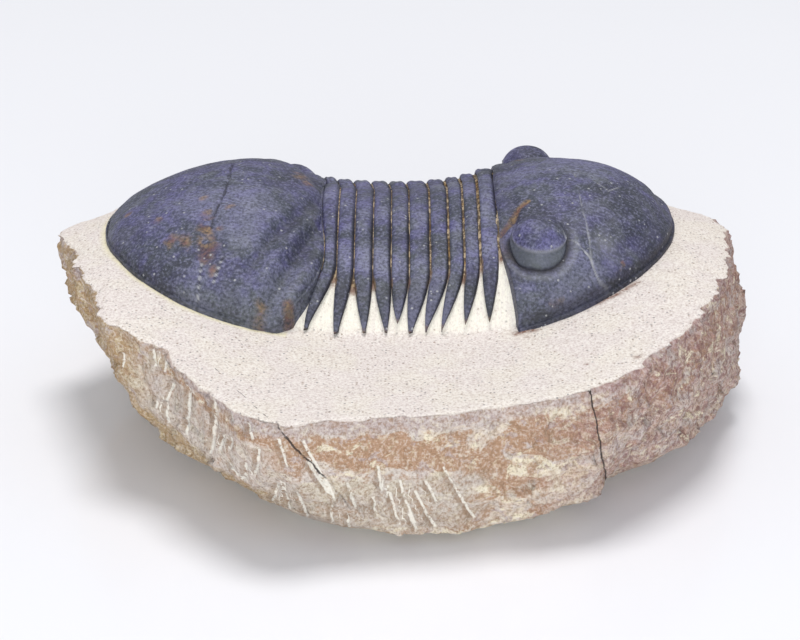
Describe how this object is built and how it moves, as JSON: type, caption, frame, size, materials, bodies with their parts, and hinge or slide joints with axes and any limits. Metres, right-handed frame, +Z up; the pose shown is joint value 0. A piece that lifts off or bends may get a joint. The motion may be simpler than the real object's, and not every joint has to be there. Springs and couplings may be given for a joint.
{
  "type": "trilobite fossil on a matrix slab",
  "caption": "Palm-sized fossil trilobite with a smooth domed tail, ribbed spiny middle and knob-eyed head, lying on its rough broken limestone slab.",
  "frame": {"origin": "middle of the slab's bounding box in plan, on the surface it rests on", "axes": "+X from the animal's tail to its head, +Y away from the wide side of the slab, +Z up"},
  "size_m": [0.0982, 0.0866, 0.0344],
  "materials": {
    "limestone": "dull, finely grained pale limestone, cream on the prepared face and brown to mauve on the broken walls",
    "fossil_shell": "satin slate blue fossil shell with violet and rusty stains"
  },
  "bodies": {
    "root": {"matrix_slab": "limestone", "pygidium": "fossil_shell", "cephalon": "fossil_shell", "thoracic_segment_01": "fossil_shell", "thoracic_segment_02": "fossil_shell", "thoracic_segment_03": "fossil_shell", "thoracic_segment_04": "fossil_shell", "thoracic_segment_05": "fossil_shell", "thoracic_segment_06": "fossil_shell", "thoracic_segment_07": "fossil_shell", "thoracic_segment_08": "fossil_shell", "thoracic_segment_09": "fossil_shell", "thoracic_segment_10": "fossil_shell"}
  },
  "joints": []
}
